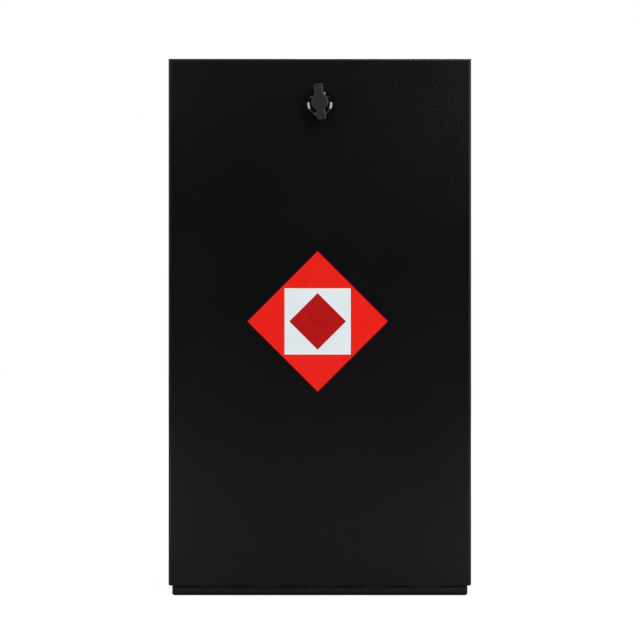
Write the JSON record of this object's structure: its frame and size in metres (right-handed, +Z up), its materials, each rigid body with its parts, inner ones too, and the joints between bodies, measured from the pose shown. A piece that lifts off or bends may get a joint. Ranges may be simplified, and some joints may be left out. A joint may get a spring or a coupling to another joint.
{
  "type": "gas bottle cabinet",
  "caption": "Tall folded-steel cabinet for one gas bottle, with a drop-down tray door hinged at the bottom, a wing-knob cam latch at the top and a louvred back.",
  "frame": {"origin": "middle of the base, on the plane that the cabinet stands on", "axes": "+Z up, +X to the right of someone facing the door, -Y out of the door towards that person"},
  "size_m": [0.302, 0.3284, 0.5365],
  "materials": {
    "powder_coat": "fine-grained satin powder coat on steel",
    "hinge_steel": "satin black on steel",
    "rivet_lacquer": "black-lacquered aluminium",
    "zinc_plate": "zinc-plated",
    "bright_steel": "turned steel",
    "seal_rubber": "matt EPDM",
    "grommet_rubber": "satin rubber",
    "bezel_black_chrome": "polished black chrome on die-cast zinc",
    "knob_nylon": "satin moulded nylon"
  },
  "bodies": {
    "cabinet": {"carcass": "powder_coat", "top_panel": "powder_coat", "keeper_plate": "zinc_plate", "back_panel": "powder_coat", "back_rivets": "rivet_lacquer", "top_rivets": "rivet_lacquer", "hose_grommet": "grommet_rubber", "bottle_bracket": "powder_coat", "bracket_bolts": "zinc_plate", "bracket_nuts": "zinc_plate", "hinge_body_leaf": "hinge_steel", "hinge_pin": "bright_steel", "hinge_rivets": "rivet_lacquer"},
    "door": {"door_panel": "powder_coat", "door_seal": "seal_rubber", "hinge_door_leaf": "hinge_steel", "latch_housing": "bezel_black_chrome", "latch_gasket": "seal_rubber", "latch_lock_washer": "zinc_plate", "latch_nut": "zinc_plate"},
    "latch": {"wing_knob": "knob_nylon", "spindle": "bright_steel", "spindle_oring": "seal_rubber", "stop_washer": "zinc_plate", "cam": "zinc_plate", "cam_washer": "zinc_plate", "cam_screw": "zinc_plate"}
  },
  "joints": [
    {"name": "door_drop", "type": "hinge", "parent": "cabinet", "child": "door", "pos_m": [0, -0.146, 0.0072], "axis": [1, 0, 0], "range_deg": [0, 87]},
    {"name": "latch_turn", "type": "hinge", "parent": "door", "child": "latch", "pos_m": [0, -0.15, 0.4909], "axis": [0, 1, 0], "range_deg": [0, 90]}
  ]
}
